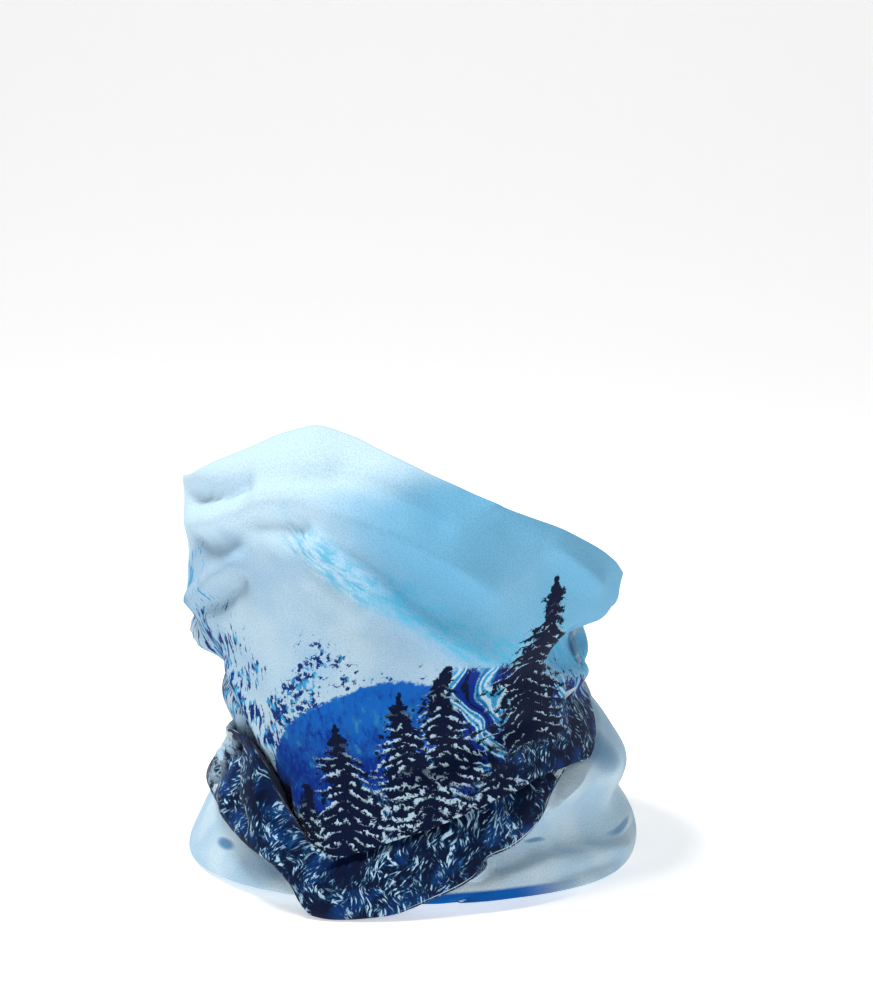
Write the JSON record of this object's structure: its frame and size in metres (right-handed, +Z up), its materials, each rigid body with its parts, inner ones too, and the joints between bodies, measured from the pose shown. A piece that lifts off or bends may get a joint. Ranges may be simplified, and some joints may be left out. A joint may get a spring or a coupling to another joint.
{
  "type": "neck gaiter",
  "caption": "Stretch-knit tube worn round the neck and pulled up over the nose, with a winter landscape print and a flat back seam.",
  "frame": {"origin": "middle of the flat bottom rim that the gaiter stands on", "axes": "+Z up, the wearer faces -Y, the wearer's left is +X"},
  "size_m": [0.16, 0.1764, 0.157],
  "materials": {
    "printed_knit": "soft matte polyester jersey, dye-printed on the outside",
    "seam_thread": "textured polyester overlock thread"
  },
  "bodies": {
    "root": {"nose_cover": "printed_knit", "chin_cover": "printed_knit", "chin_roll": "printed_knit", "bottom_cuff": "printed_knit", "seam_lap": "printed_knit", "needle_threads": "seam_thread", "cover_thread": "seam_thread", "looper_thread": "seam_thread"}
  },
  "joints": []
}
